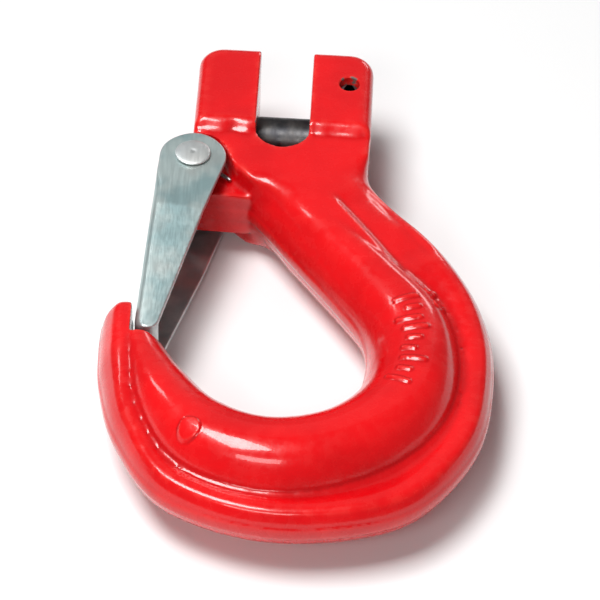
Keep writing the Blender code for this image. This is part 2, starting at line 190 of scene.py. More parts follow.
# Shallow pocket on the neck's outer flank: its inner edge, and how softly its sides start
POCKET_EDGE = ((10.5, -27.5), (27.0, -49.5))
POCKET_WIDTH = 11.0
POCKET_DEPTH = 1.0
POCKET_INNER_FADE = 1.5
POCKET_OUTER_FADE = 3.0
POCKET_TOP_FADE = (-1.0, 6.0)
POCKET_END_FADE = (-5.0, 1.0)
FACING_FADE = (0.25, 0.5)

# Raised bars and round pads
MARK_HEIGHT = 0.4
BAR_START = 2.95
BAR_STEP = 0.24
BAR_ACROSS = 9.5
BAR_RADIUS = 0.4
BAR_SWAY = 0.8
BAR_SWAY_RATE = 2.3
BAR_SLANT = 0.015
FRONT_BARS = (2.4, 1.2, 2.4, 2.4, 1.2, 1.2, 2.4, 1.2, 2.4)
BACK_BARS = (1.4, 2.6, 1.4, 2.6, 1.4, 2.6)
ROUND_PADS = ((2.75, 16.0, 1.2), (3.05, 16.5, 1.2), (8.0, 15.3, 2.2))
MARK_FADE = (-0.15, 0.45)
MARK_REACH = 1.4
MARK_FLOOR = 4.0

# Uneven skin of the forging and its flash line, as feature sizes and heights
SWELL_SIZE = 9.0
SWELL_HEIGHT = 0.05
GRAIN_SIZE = 3.2
GRAIN_HEIGHT = 0.012
SKIN_INSET = 0.06
FLASH_HEIGHT = 0.22
FLASH_HALF_WIDTH = (1.1, 1.9)
FLASH_SWAY = 0.25
FLASH_SWAY_SIZE = 14.0
FLASH_START = (22.0, 28.0)
UPRIGHT_FADE = (0.55, 0.85)
MACHINED_MARGIN = 0.5
SEEDS = {"swell": 1, "grain": 2, "flash": 3, "sheet": 4, "foot": 5}

# Pressed latch detail
LATCH_VOXEL = 0.24
LATCH_SMOOTHING = 16
WEB_BEND = 2.0
SHEARED_EDGE = 0.4
PLATE_CROWN = 0.25
WIRE_END = 0.12
BEND_START = (5.0, 11.0)
BEND_LIMIT = 0.85
CUT_OFFSET = 0.03
SHEET_WAVE_SIZE = 5.0
SHEET_WAVE = 0.05
SHEET_BORE_CHAMFER = 0.1

# How finely round shapes are divided
CORNER_STEPS = 12
ARC_STEPS = 32
BORE_SIDES = 64
PIN_SIDES = 96
KEEPER_STEPS = 56
LATCH_STATIONS = 90
LATCH_ACROSS = 14
LATCH_BEND_STEPS = 7
CUTTER_STATIONS = 40
RIVET_DOME_STEPS = 15
COIL_STEPS = 44
LEG_STEPS = 16
STRAIGHT_STEPS = 24
LOOP_STEPS = 12
BAR_STEPS = 14
WIRE_SIDES = 16

# Paint, plating and steel
RED_DEEP = (0.62, 0.0016, 0.0045)
RED_BRIGHT = (0.73, 0.0030, 0.0060)
# Painted shade: the colour the paint is darkened to in its hollows
RED_PAINTED_SHADE = (0.25, 0.001, 0.002)
# Paler red for the paint's edges: thin paint there, and a painted highlight
RED_THIN_PAINT_AND_HIGHLIGHT = (0.92, 0.07, 0.05)
RUBBED_STEEL = (0.16, 0.11, 0.10)
# Painted shade: the colour the plating is darkened to in its hollows
ZINC_PAINTED_SHADE = (0.16, 0.18, 0.18)
ZINC_EDGE = (0.80, 0.83, 0.83)
STEEL_EDGE = (0.45, 0.45, 0.46)
FLOOR_DARK = (0.83, 0.83, 0.83)
FLOOR_LIGHT = (0.86, 0.86, 0.86)
# Gain of the edge and hollow marks, used for wear, thin paint, painted highlights and painted
# shade
WEAR_AND_PAINTED_LIGHT_GAIN = 6.0

# Studio, in metres and watts: each light's name, place, size and power
WORLD_STRENGTH = 0.13
LIGHT_TARGET = (0.0, -0.05, 0.0)
LIGHTS = (
    ("key", (-0.24, -0.14, 0.83), (0.42, 0.32), 8.0),
    ("back", (0.0, 0.95, 0.80), (1.4, 0.9), 0.6),
    ("front", (-0.15, -0.75, 0.62), (0.45, 0.20), 2.4),
    ("rim", (0.40, 0.95, 0.33), (0.30, 0.15), 0.8),
    ("left", (-0.66, 0.54, 0.80), (0.16, 0.16), 0.8),
)
FLOOR_SIZE = 4.0
FLOOR_GAP = 0.0003
CAMERA_LENS = 212
CAMERA_SENSOR = 36
CAMERA_CLIP = 0.01
CAMERA_PLACE = (0.0136, -0.5784, 0.523)
CAMERA_TARGET = (0.006, -0.050, 0.0)
CAMERA_ROLL = 2.5

CLEAR = 20.0
PLUNGE = 4.0


# ---------------------------------------------------------------- mesh helpers

def finish_bmesh(name, bm):
    mesh = bpy.data.meshes.new(name)
    bmesh.ops.recalc_face_normals(bm, faces=bm.faces)
    bm.to_mesh(mesh)
    bm.free()
    obj = bpy.data.objects.new(name, mesh)
    bpy.context.scene.collection.objects.link(obj)
    return obj


def remove(obj):
    mesh = obj.data
    bpy.data.objects.remove(obj, do_unlink=True)
    bpy.data.meshes.remove(mesh)


def apply_modifiers(obj):
    """Replace an object's mesh by its evaluated one."""
    depsgraph = bpy.context.evaluated_depsgraph_get()
    made = bpy.data.meshes.new_from_object(obj.evaluated_get(depsgraph))
    old = obj.data
    obj.modifiers.clear()
    obj.data = made
    bpy.data.meshes.remove(old)


def boolean(target, tools, operation):
    for tool in tools:
        mod = target.modifiers.new(tool.name, "BOOLEAN")
        mod.operation = operation
        mod.solver = "EXACT"
        mod.object = tool
    apply_modifiers(target)
    for tool in tools:
        remove(tool)


def voxel_remesh(obj, size):
    mod = obj.modifiers.new("remesh", "REMESH")
    mod.mode = "VOXEL"
    mod.voxel_size = size
    apply_modifiers(obj)


def points_of(mesh):
    co = np.empty(len(mesh.vertices) * 3, np.float32)
    mesh.vertices.foreach_get("co", co)
    return co.reshape(-1, 3).astype(float)


def set_points(mesh, co):
    mesh.vertices.foreach_set("co", np.ascontiguousarray(co, np.float32).ravel())
    mesh.update()


def normals_of(mesh):
    normals = np.empty(len(mesh.vertices) * 3, np.float32)
    mesh.vertex_normals.foreach_get("vector", normals)
    return normals.reshape(-1, 3).astype(float)


def edges_of(mesh):
    pairs = np.empty(len(mesh.edges) * 2, np.int32)
    mesh.edges.foreach_get("vertices", pairs)
    return pairs.reshape(-1, 2)


def neighbour_mean(values, pairs, count):
    """Mean of the neighbours' values at each vertex."""
    flat = values.reshape(count, -1)
    total = np.zeros_like(flat)
    for k in range(flat.shape[1]):
        total[:, k] = (np.bincount(pairs[:, 0], flat[pairs[:, 1], k], count)
                       + np.bincount(pairs[:, 1], flat[pairs[:, 0], k], count))
    share = np.bincount(pairs.ravel(), minlength=count)
    return (total / np.maximum(share, 1)[:, None]).reshape(values.shape)


def relax(mesh, rounds, strength=0.5, swell=-0.51):
    """Round a mesh's edges without shrinking it: a smoothing step, then a swelling one."""
    co = points_of(mesh)
    pairs = edges_of(mesh)
    for _ in range(rounds):
        for step in (strength, swell):
            co = co + step * (neighbour_mean(co, pairs, len(co)) - co)
    set_points(mesh, co)


def smoothstep(low, high, x):
    t = np.clip((x - low) / (high - low), 0.0, 1.0)
    return t * t * (3.0 - 2.0 * t)


def noise_at(co, size, seed):
    """Smooth noise from about -1 to 1 at each point, with features of a given size."""
    offset = Vector((seed * 17.3, seed * 5.1, seed * 9.7))
    return np.array([noise.noise(Vector(p) / size + offset) for p in co])


def mark_wear_and_painted_light(mesh, spread):
    """Store how convex ("edge") and how hollow ("hollow") the surface is at each point; the
    materials use them for wear, thin paint and painted highlights on edges, and for painted shade
    in hollows.
    """
    co = points_of(mesh)
    pairs = edges_of(mesh)
    count = len(co)
    normals = normals_of(mesh)
    length = np.linalg.norm(co[pairs[:, 0]] - co[pairs[:, 1]], axis=1)
    reach = neighbour_mean(np.ones(count), pairs, count)
    near = (np.bincount(pairs[:, 0], length, count) + np.bincount(pairs[:, 1], length, count))
    near /= np.maximum(np.bincount(pairs.ravel(), minlength=count), 1)
    bend = ((co - neighbour_mean(co, pairs, count)) * normals).sum(1)
    bend = np.clip(bend / np.maximum(near, 1e-6) * reach, -1.0, 1.0)
    for _ in range(spread):
        bend = 0.5 * bend + 0.5 * neighbour_mean(bend, pairs, count)
    for name, value in (("edge", bend), ("hollow", -bend)):
        attribute = mesh.attributes.new(name, "FLOAT", "POINT")
        shown = np.clip(value * WEAR_AND_PAINTED_LIGHT_GAIN, 0.0, 1.0).astype(np.float32)
        attribute.data.foreach_set("value", shown)


def finish_piece(obj, name, mat, degrees=35.0, spread=2):
    """Name, wear and painted-light marks, scale to metres, shading and material of a finished
    piece.
    """
    obj.name = name
    obj.data.name = name
    mark_wear_and_painted_light(obj.data, spread)
    obj.data.transform(Matrix.Scale(MM, 4))
    obj.data.shade_smooth()
    obj.data.set_sharp_from_angle(angle=math.radians(degrees))
    obj.data.materials.clear()
    obj.data.materials.append(mat)
    return obj


def arc(centre, radius, start, end, steps):
    points = []
    for i in range(steps + 1):
        angle = math.radians(start + (end - start) * i / steps)
        points.append((centre[0] + radius * math.cos(angle), centre[1] + radius * math.sin(angle)))
    return points


def prism_mesh(outline, z_low, z_high):
    bm = bmesh.new()
    face = bm.faces.new([bm.verts.new((x, y, z_low)) for x, y in outline])
    extruded = bmesh.ops.extrude_face_region(bm, geom=[face])
    top = [v for v in extruded["geom"] if isinstance(v, bmesh.types.BMVert)]
    bmesh.ops.translate(bm, verts=top, vec=(0.0, 0.0, z_high - z_low))
    return bm


def prism(name, outline, z_low, z_high):
    return finish_bmesh(name, prism_mesh(outline, z_low, z_high))


def bevelled_prism(name, outline, half, edge, steps):
    bm = prism_mesh(outline, -half, half)
    rims = [e for e in bm.edges if abs(e.verts[0].co.z - e.verts[1].co.z) < half / 100]
    bmesh.ops.bevel(bm, geom=rims, offset=edge, segments=steps, profile=0.5, affect="EDGES")
    return finish_bmesh(name, bm)


def turned(name, profile, segments, centre, axis):
    """A closed piece turned from (radius, height) points, whose ends lie on the axis."""
    bm = bmesh.new()
    rings = []
    for radius, height in profile:
        sides = segments if radius else 1
        ring = []
        for i in range(sides):
            angle = 2 * math.pi * i / segments
            ring.append(bm.verts.new((radius * math.cos(angle), radius * math.sin(angle), height)))
        rings.append(ring)
    for low, high in zip(rings, rings[1:]):
        for i in range(segments):
            corners = (low[i % len(low)], low[(i + 1) % len(low)],
                       high[(i + 1) % len(high)], high[i % len(high)])
            bm.faces.new(tuple(dict.fromkeys(corners)))
    turn = Vector((0.0, 0.0, 1.0)).rotation_difference(Vector(axis)).to_matrix().to_4x4()
    bm.transform(Matrix.Translation(centre) @ turn)
    return finish_bmesh(name, bm)


def loft(name, rings):
    """A closed skin over rings of points, with a face at each end."""
    bm = bmesh.new()
    loops = [[bm.verts.new(p) for p in ring] for ring in rings]
    count = len(loops[0])
    for low, high in zip(loops, loops[1:]):
        for i in range(count):
            j = (i + 1) % count
            bm.faces.new((low[i], low[j], high[j], high[i]))
    bm.faces.new(loops[0])
    bm.faces.new(loops[-1])
    return finish_bmesh(name, bm)


# ---------------------------------------------------------------- hook body

def catmull(p0, p1, p2, p3, t):
    return 0.5 * (2 * p1 + (p2 - p0) * t + (2 * p0 - 5 * p1 + 4 * p2 - p3) * t ** 2
                  + (3 * p1 - p0 - 3 * p2 + p3) * t ** 3)


def section_at(t):
    """The section at a place t along the body, from 0 at the neck to 12 at the tip."""
    rows = [(*inner, *outer, *shape) for inner, outer, *shape in SECTIONS]
    last = len(rows) - 1
    i = min(int(t), last - 1)
    around = (rows[max(i - 1, 0)], rows[i], rows[i + 1], rows[min(i + 2, last)])
    return [catmull(*column, t - i) for column in zip(*around)]


def half_profile(width, bulge_half, bulge_radius, rim_half, rim_radius):
    """Upper half of a section from its inner to its outer point, as (across, z) pairs."""
    points = []
    for i in range(BULGE_STEPS):
        angle = math.pi / 2 * i / BULGE_STEPS
        points.append((bulge_radius * (1 - math.cos(angle)), bulge_half * math.sin(angle)))
    rim_half = min(rim_half, bulge_half)
    flank = width - bulge_radius - rim_radius
    share = min(1.0, (bulge_half - rim_half) / GROOVE_FULL_STEP)
    for i in range(FLANK_STEPS):
        v = i / FLANK_STEPS
        fallen = flank * v / (OUTER_SWELL * bulge_radius)
        bulge = bulge_half * math.sqrt(max(1 - fallen ** 2, 0.0))
        rim = rim_half - RIM_GROOVE * share * (1 - smoothstep(*GROOVE_OUTER, v))
        z = (bulge + rim + math.hypot(bulge - rim, GROOVE_ROUNDING * share)) / 2
        points.append((bulge_radius + flank * v, z))
    for i in range(RIM_STEPS + 1):
        angle = math.pi / 2 * i / RIM_STEPS
        points.append((width - rim_radius * (1 - math.sin(angle)), rim_half * math.cos(angle)))
    return points


def body_ring(t, inset):
    """Ring of points round the section at t, drawn in towards its middle by an inset."""
    inner_x, inner_y, outer_x, outer_y, *shape = section_at(t)
    inner = Vector((inner_x, inner_y, 0.0))
    across = Vector((outer_x, outer_y, 0.0)) - inner
    width = across.length
    across.normalize()
    half = half_profile(width, *shape)
    thin = max(z for _, z in half)
    narrow = 1 - 2 * inset / width
    low = 1 - inset / thin
    ring = half + [(u, -z) for u, z in reversed(half[1:-1])]
    return [inner + across * (width / 2 + (u - width / 2) * narrow) + Vector((0, 0, z * low))
            for u, z in ring]


def swept_body():
    """Neck, bowl and tip as one skin, with the end of the tip rounded."""
    last = len(SECTIONS) - 1
    steps = last * SECTION_STEPS
    end = Vector(section_at(last)[:2])
    rings = []
    for i in range(steps + 1):
        t = last * i / steps
        away = (Vector(section_at(t)[:2]) - end).length if t > last - 1 else TIP_ROUNDING
        depth = max(TIP_ROUNDING - away, 0.0)
        inset = TIP_ROUNDING - math.sqrt(max(TIP_ROUNDING ** 2 - depth ** 2, 0.0))
        rings.append(body_ring(t, inset))
    return loft("hook_body", rings)


def ears_block():
    half = CLEVIS_HALF_WIDTH
    top = CLEVIS_TOP - EAR_CORNER
    outline = [(-half, EAR_FOOT), (half, EAR_FOOT)]
    outline += arc((half - EAR_CORNER, top), EAR_CORNER, 0, 90, CORNER_STEPS)
    outline += arc((EAR_CORNER - half, top), EAR_CORNER, 90, 180, CORNER_STEPS)
    return bevelled_prism("ears_block", outline, EAR_HALF_THICKNESS, EAR_EDGE, 6)


def foot_block():
    outline = [(-CLEVIS_HALF_WIDTH, EAR_FOOT + FOOT_OVERLAP), *FOOT_OUTLINE,
               (CLEVIS_HALF_WIDTH, EAR_FOOT + FOOT_OVERLAP)]
    return bevelled_prism("foot_block", outline, BODY_HALF_THICKNESS, FOOT_EDGE, 4)


def lug_block():
    outline = arc(PIVOT, LUG_RADIUS, 90, 275, ARC_STEPS) + list(LUG_ROOT)
    return prism("lug_block", outline, -LUG_HALF_THICKNESS, LUG_HALF_THICKNESS)


def slot_cutter():
    half = SLOT_WIDTH / 2
    outline = arc((0.0, SLOT_BOTTOM + half), half, 180, 360, ARC_STEPS)
    outline += [(half, CLEVIS_TOP + PLUNGE), (-half, CLEVIS_TOP + PLUNGE)]
    reach = EAR_HALF_THICKNESS + PLUNGE
    return prism("slot_cutter", outline, -reach, reach)


def recess_cutter(name, side):
    """Room for one side plate of the latch, from closed to fully open."""
    taper = math.asin((LATCH_TOP_RADIUS - LATCH_END_RADIUS) / LATCH_LENGTH)
    open_edge = math.radians(LATCH_CLOSED + LATCH_OPENING) - taper
    heading = Vector((math.cos(open_edge), math.sin(open_edge)))
    normal = Vector((-heading.y, heading.x))
    clearance = LATCH_TOP_RADIUS + RECESS_CLEARANCE
    start = math.degrees(math.atan2(normal.y, normal.x))
    far = PIVOT.xy + normal * clearance + heading * RECESS_LENGTH
    outline = arc(PIVOT, clearance, start, 180, ARC_STEPS)
    outline += [(PIVOT.x - clearance, far.y), tuple(far)]
    low, high = sorted((side * LUG_HALF_THICKNESS, side * (EAR_HALF_THICKNESS + PLUNGE)))
    return prism(name, outline, low, high)


def notch_cutter():
    x, y = NOTCH_WALL_X, NOTCH_FLOOR_Y
    outline = ((x, y), (x + CLEAR, y), (x + CLEAR, y + CLEAR), (x, y + CLEAR))
    reach = EAR_HALF_THICKNESS + PLUNGE
    return prism("notch_cutter", outline, -reach, reach)


def keeper_centre():
    return Vector((GROOVE_X, LOAD_PIN_RADIUS - GROOVE_DEPTH + FIT_GAP + KEEPER_RADIUS, 0.0))


def bore_cutter(name, radius, half_length, chamfer, centre, axis):
    """A through bore whose two mouths are chamfered."""
    reach = half_length + PLUNGE
    wide = radius + chamfer + PLUNGE
    profile = ((0.0, -reach), (wide, -reach), (radius, chamfer - half_length),
               (radius, half_length - chamfer), (wide, reach), (0.0, reach))
    return turned(name, profile, BORE_SIDES, centre, axis)


def soften_ear_feet(mesh):
    """Ease the step from the ears' faces down to the body's faces."""
    co = points_of(mesh)
    lift = EAR_HALF_THICKNESS - BODY_HALF_THICKNESS
    across = co * (1.0, 0.0, 0.0)
    uneven = EAR_RAMP_SWAY * np.abs(noise_at(across, EAR_RAMP_SWAY_SIZE, SEEDS["foot"]))
    ramp = smoothstep(EAR_RAMP[0] - uneven, EAR_RAMP[1], co[:, 1])
    height = BODY_HALF_THICKNESS + lift * ramp
    band = (co[:, 1] > EAR_RAMP[0] - EAR_BELOW) & (co[:, 1] < EAR_RAMP[1] + EAR_ABOVE)
    band &= np.abs(co[:, 2]) > BODY_HALF_THICKNESS - EAR_SKIN
    side = np.abs(co[:, 0])
    weight = smoothstep(*EAR_FADE_IN, side) * (1 - smoothstep(*EAR_FADE_OUT, side)) * band
    over = np.maximum(np.abs(co[:, 2]) - height, 0.0) * band
    shift = weight * (height - np.abs(co[:, 2])) - (1 - weight) * over
    co[:, 2] += np.sign(co[:, 2]) * shift
    set_points(mesh, co)


def blend_neck(mesh, rounds):
    """Melt the foot of the clevis into the neck, away from the latch's recess."""
    co = points_of(mesh)
    pairs = edges_of(mesh)
    wall = ((co[:, 0] - RECESS_WALL[0]) * RECESS_NORMAL[0]
            + (co[:, 1] - RECESS_WALL[1]) * RECESS_NORMAL[1])
    weight = smoothstep(*NECK_FADE_IN, co[:, 1]) * (1 - smoothstep(*NECK_FADE_OUT, co[:, 1]))
    weight *= smoothstep(*NECK_OFF_WALL, wall)
    for _ in range(rounds):
        co += NECK_STEP * weight[:, None] * (neighbour_mean(co, pairs, len(co)) - co)
    set_points(mesh, co)


def place_on_body(t, across):
    """Point (x, y) at a place t along the body and a distance across it from its inner edge."""
    inner_x, inner_y, outer_x, outer_y, *_ = section_at(t)
    inner = Vector((inner_x, inner_y))
    return inner + (Vector((outer_x, outer_y)) - inner).normalized() * across


def distance_to_bar(co, a, b):
    """Distance of each point from the segment a-b, seen from above."""
    ax, ay = a
    dx, dy = b[0] - ax, b[1] - ay
    along = ((co[:, 0] - ax) * dx + (co[:, 1] - ay) * dy) / max(dx * dx + dy * dy, 1e-9)
    along = np.clip(along, 0.0, 1.0)
    return np.hypot(co[:, 0] - ax - along * dx, co[:, 1] - ay - along * dy)


def marks():
    """Raised bars and round pads, plain and meaningless, as (a, b, radius, side)."""
    made = []
    for side, pattern in ((1, FRONT_BARS), (-1, BACK_BARS)):
        for k, reach in enumerate(pattern):
            t = BAR_START + BAR_STEP * k
            middle = BAR_ACROSS + BAR_SWAY * math.sin(BAR_SWAY_RATE * k)
            made.append((place_on_body(t, middle - reach),
                         place_on_body(t + BAR_SLANT * (k % 3 - 1), middle + reach),
                         BAR_RADIUS, side))
        for t, across, radius in ROUND_PADS:
            centre = place_on_body(t, across)
            made.append((centre, centre, radius, side))
    return made


def emboss(co, normals):
    """Sink the pocket on the neck's outer flank, and raise the marks."""
    side = np.sign(co[:, 2])
    facing = smoothstep(*FACING_FADE, np.abs(normals[:, 2])) * (normals[:, 2] * side > 0)
    (ax, ay), (bx, by) = POCKET_EDGE
    length = math.hypot(bx - ax, by - ay)
    right = -((co[:, 0] - ax) * (by - ay) - (co[:, 1] - ay) * (bx - ax)) / length
    down = ((co[:, 0] - ax) * (bx - ax) + (co[:, 1] - ay) * (by - ay)) / length
    outer = smoothstep(POCKET_WIDTH - POCKET_OUTER_FADE, POCKET_WIDTH, right)
    pocket = smoothstep(0.0, POCKET_INNER_FADE, right) * (1 - outer)
    end = smoothstep(length + POCKET_END_FADE[0], length + POCKET_END_FADE[1], down)
    pocket *= smoothstep(*POCKET_TOP_FADE, down) * (1 - end)
    shift = -POCKET_DEPTH * pocket
    for a, b, radius, mark_side in marks():
        here = side == mark_side
        distance = distance_to_bar(co, a, b)
        fall = smoothstep(radius + MARK_FADE[0], radius + MARK_FADE[1], distance)
        shift += here * MARK_HEIGHT * (1 - fall)
    co[:, 2] += side * shift * facing


def forging_skin(co, normals):
    """Uneven forged surface, and the trimmed flash line round the middle plane."""
    swell = (noise_at(co, SWELL_SIZE, SEEDS["swell"]) * SWELL_HEIGHT
             + noise_at(co, GRAIN_SIZE, SEEDS["grain"]) * GRAIN_HEIGHT)
    swell -= SKIN_INSET
    upright = 1 - smoothstep(*UPRIGHT_FADE, np.abs(normals[:, 2]))
    bowl = smoothstep(*FLASH_START, -co[:, 1])
    sway = FLASH_SWAY * noise_at(co, FLASH_SWAY_SIZE, SEEDS["flash"])
    off_line = smoothstep(*FLASH_HALF_WIDTH, np.abs(co[:, 2] + sway))
    swell -= FLASH_HEIGHT * upright * off_line * bowl
    machined = ((np.abs(co[:, 0]) < SLOT_WIDTH / 2 + MACHINED_MARGIN)
                & (co[:, 1] > SLOT_BOTTOM - MACHINED_MARGIN))
    swell[machined] = 0.0
    co += normals * swell[:, None]


def refine(obj, chosen):
    """Split the faces of the chosen points once, so that they can hold fine relief."""
    bm = bmesh.new()
    bm.from_mesh(obj.data)
    bm.verts.ensure_lookup_table()
    edges = [e for e in bm.edges if chosen[e.verts[0].index] and chosen[e.verts[1].index]]
    bmesh.ops.subdivide_edges(bm, edges=edges, cuts=1, use_grid_fill=True, smooth=0.0)
    bm.to_mesh(obj.data)
    bm.free()


def near_marks(co):
    close = np.zeros(len(co), bool)
    for a, b, radius, side in marks():
        close |= (np.sign(co[:, 2]) == side) & (distance_to_bar(co, a, b) < radius + MARK_REACH)
    return close & (np.abs(co[:, 2]) > MARK_FLOOR)


def inside_cad_box(co):
    low, high = (np.array(corner) / MM for corner in CAD_BOX)
    return np.clip(co, low + BOX_MARGIN, high - BOX_MARGIN)


def hook_body(mat):
    """Forged body: clevis, neck, bowl, tip and latch lug in one, with its bores cut last."""
    body = swept_body()
    boolean(body, [foot_block(), ears_block()], "UNION")
    boolean(body, [recess_cutter("recess_front", 1), recess_cutter("recess_back", -1)],
            "DIFFERENCE")
    boolean(body, [lug_block()], "UNION")
    boolean(body, [slot_cutter(), notch_cutter()], "DIFFERENCE")
    voxel_remesh(body, BODY_VOXEL)
    soften_ear_feet(body.data)
    relax(body.data, BODY_SMOOTHING)
    soften_ear_feet(body.data)
    relax(body.data, EAR_SMOOTHING)
    blend_neck(body.data, NECK_ROUNDS)
    refine(body, near_marks(points_of(body.data)))
    co = points_of(body.data)
    emboss(co, normals_of(body.data))
    set_points(body.data, co)
    co = points_of(body.data)
    forging_skin(co, normals_of(body.data))
    set_points(body.data, inside_cad_box(co))
    bores = (("pin_bore", LOAD_PIN_RADIUS, CLEVIS_HALF_WIDTH, PIN_BORE_CHAMFER, Vector(),
              (1, 0, 0)),
             ("keeper_bore", KEEPER_RADIUS, EAR_HALF_THICKNESS, SMALL_BORE_CHAMFER,
              keeper_centre(), (0, 0, 1)),
             ("rivet_bore", RIVET_RADIUS, LUG_HALF_THICKNESS, SMALL_BORE_CHAMFER, PIVOT,
              (0, 0, 1)))
    for name, radius, reach, chamfer, centre, axis in bores:
        bore = bore_cutter(name, radius + FIT_GAP, reach, chamfer, centre, axis)
        boolean(body, [bore], "DIFFERENCE")
    return finish_piece(body, "hook_body_forging", mat)


# ---------------------------------------------------------------- pins

def load_pin(mat):
    """Turned pin with chamfered ends, lathe centres and a round groove."""
    end = LOAD_PIN_LENGTH / 2
    radius = LOAD_PIN_RADIUS
    groove = KEEPER_RADIUS + FIT_GAP
    inner = radius - GROOVE_DEPTH
    ease = PIN_EASE
    centre = tuple((r, end - depth) for r, depth in LATHE_CENTRE)
    tip = ((radius - LOAD_PIN_CHAMFER - ease, end), (radius - LOAD_PIN_CHAMFER + ease, end - ease),
           (radius - ease, end - LOAD_PIN_CHAMFER + ease), (radius, end - LOAD_PIN_CHAMFER - ease))
    low_end = [(r, -x) for r, x in centre + tip]
    waist = [(radius, GROOVE_X - groove - ease), (radius - ease, GROOVE_X - groove)]
    waist += [(inner + ease, GROOVE_X - groove), (inner, GROOVE_X - groove + ease)]
    waist += [(inner, GROOVE_X + groove - ease), (inner + ease, GROOVE_X + groove)]
    waist += [(radius - ease, GROOVE_X + groove), (radius, GROOVE_X + groove + ease)]
    shank = [(radius, x) for x in np.linspace(-end + 2, GROOVE_X - groove - 1, 24)]
    profile = low_end + shank + waist + list(reversed(centre + tip))
    pin = turned("load_pin", profile, PIN_SIDES, Vector(), (1, 0, 0))
    return finish_piece(pin, "load_pin_turned", mat, 30, 1)


def spring_pin(mat):
    """Rolled spring pin: a thick tube, split along its length, with eased ends."""
    half_slit = math.degrees(math.asin(KEEPER_SLIT / 2 / KEEPER_RADIUS))
    outline = arc(keeper_centre(), KEEPER_RADIUS, 90 + half_slit, 450 - half_slit,
                  KEEPER_STEPS)
    outline += arc(keeper_centre(), KEEPER_RADIUS - KEEPER_WALL, 450 - 2 * half_slit,
                   90 + 2 * half_slit, KEEPER_STEPS)
    pin = bevelled_prism("spring_pin", outline, KEEPER_LENGTH / 2, KEEPER_EASE, 3)
    return finish_piece(pin, "spring_pin_rolled", mat, 35, 1)


# ---------------------------------------------------------------- latch

def latch_axes():
    """Unit vectors down the closed latch, and across it towards the throat."""
    heading = math.radians(LATCH_CLOSED)
    along = Vector((math.cos(heading), math.sin(heading), 0.0))
    return along, Vector((-along.y, along.x, 0.0))


def teardrop(down, inset):
    """Half width of the latch's side plate at a place down its length."""
    top, end = LATCH_TOP_RADIUS - inset, LATCH_END_RADIUS - inset
    taper = math.asin((top - end) / LATCH_LENGTH)
    if down < top * math.sin(taper):
        return math.sqrt(max(top ** 2 - down ** 2, 0.0))
    if down > LATCH_LENGTH + end * math.sin(taper):
        return math.sqrt(max(end ** 2 - (down - LATCH_LENGTH) ** 2, 0.0))
    return (top - down * math.sin(taper)) / math.cos(taper)


def latch_half_width(down, inset):
    past = max(down - TAPER_START, 0.0) / (LATCH_LENGTH - TAPER_START)
    return LATCH_HALF_WIDTH - inset - LATCH_END_NARROWING * past


def plate_height(across, down, inset):
    """Height of a side plate, which is crowned: it falls a little towards both edges."""
    share = across / max(teardrop(down, 0.0), 1.0)
    return latch_half_width(down, inset) - PLATE_CROWN * min(share * share, 1.5)


def latch_ring(down, inset, low, high, corner):
    """Ring round the latch from across low to high, with bent corners on the low side."""
    along, side = latch_axes()
    upper = [(high - (high - low - corner) * i / LATCH_ACROSS) for i in range(LATCH_ACROSS + 1)]
    ring = [(a, plate_height(a, down, inset)) for a in upper]
    if corner:
        middle = plate_height(low + corner, down, inset) - corner
        for i in range(1, LATCH_BEND_STEPS + 1):
            angle = math.pi / 2 * i / LATCH_BEND_STEPS
            ring.append((low + corner * (1 - math.sin(angle)), middle + corner * math.cos(angle)))
    ring += [(a, -z) for a, z in reversed(ring)]
    return [PIVOT + side * a + along * down + Vector((0, 0, z)) for a, z in ring]


def latch_shell(name, inset):
    """Solid in the latch's outline, drawn in by an inset, with the web's corners rounded."""
    first = -(LATCH_TOP_RADIUS - inset)
    last = LATCH_LENGTH + LATCH_END_RADIUS - inset
    stations = [0.5 - 0.5 * math.cos(math.pi * i / LATCH_STATIONS)
                for i in range(LATCH_STATIONS + 1)]
    rings = []
    for station in stations:
        down = first + (last - first) * station
        half = max(teardrop(down, inset), 0.02)
        bend = SHEARED_EDGE + (WEB_BEND - SHEARED_EDGE) * float(smoothstep(*BEND_START, down))
        corner = min(max(bend - inset, SHEARED_EDGE), BEND_LIMIT * half)
        rings.append(latch_ring(down, inset, -half, half, corner))
    return loft(name, rings)


def latch_cutter(name, inset, low, high, first, last):
    downs = [first + (last - first) * i / CUTTER_STATIONS for i in range(CUTTER_STATIONS + 1)]
    return loft(name, [latch_ring(down, inset, low, high, 0.0) for down in downs])


def latch(mat):
    """Pressed sheet latch: two side plates, joined by a web with bent corners."""
    piece = latch_shell("latch", 0.0)
    hollow = latch_shell("latch_hollow", SHEET)
    mouth = latch_cutter("latch_mouth", SHEET - CUT_OFFSET, SHEET - LATCH_END_RADIUS, CLEAR,
                         -CLEAR, LATCH_LENGTH)
    window = latch_cutter("latch_window", SHEET - 2 * CUT_OFFSET, -CLEAR, CLEAR, -CLEAR,
                          WEB_START)
    for tool in (hollow, mouth, window):
        boolean(piece, [tool], "DIFFERENCE")
    voxel_remesh(piece, LATCH_VOXEL)
    relax(piece.data, LATCH_SMOOTHING)
    co = points_of(piece.data)
    wave = noise_at(co, SHEET_WAVE_SIZE, SEEDS["sheet"]) * SHEET_WAVE - SHEET_WAVE
    co += normals_of(piece.data) * wave[:, None]
    set_points(piece.data, co)
    bore = bore_cutter("latch_bore", RIVET_RADIUS + FIT_GAP, LATCH_HALF_WIDTH,
                       SHEET_BORE_CHAMFER, PIVOT, (0, 0, 1))
    boolean(piece, [bore], "DIFFERENCE")
    return finish_piece(piece, "latch_pressed", mat, 40, 1)


